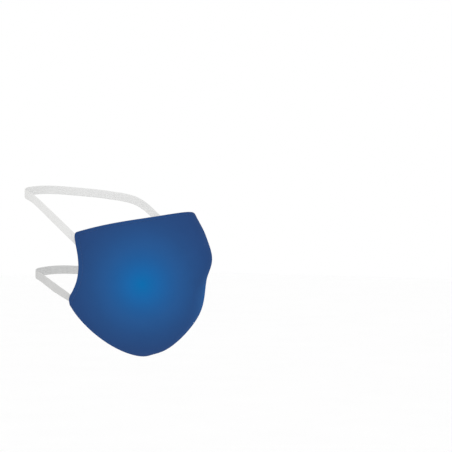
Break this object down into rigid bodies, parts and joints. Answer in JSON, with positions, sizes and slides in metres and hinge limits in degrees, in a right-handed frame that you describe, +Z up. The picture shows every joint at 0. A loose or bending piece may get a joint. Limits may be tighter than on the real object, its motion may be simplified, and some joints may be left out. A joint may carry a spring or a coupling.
{
  "type": "cloth face mask",
  "caption": "Shaped cloth face mask with a printed outer shell, a white lining and flat elastic head straps that hold it over the nose, mouth and chin.",
  "frame": {"origin": "the nose seat: where the middle of the top edge lies on the bridge of the wearer's nose", "axes": "+Z up; the wearer faces -Y, so the straps run back along +Y; +X is the wearer's left"},
  "size_m": [0.137, 0.2095, 0.1573],
  "materials": {
    "printed_cloth": "matte printed knit",
    "white_cloth": "matte knit",
    "white_elastic": "ribbed elastic"
  },
  "bodies": {
    "root": {"mask_shell": "printed_cloth", "lining": "white_cloth", "upper_strap": "white_elastic", "lower_strap": "white_elastic"}
  },
  "joints": []
}
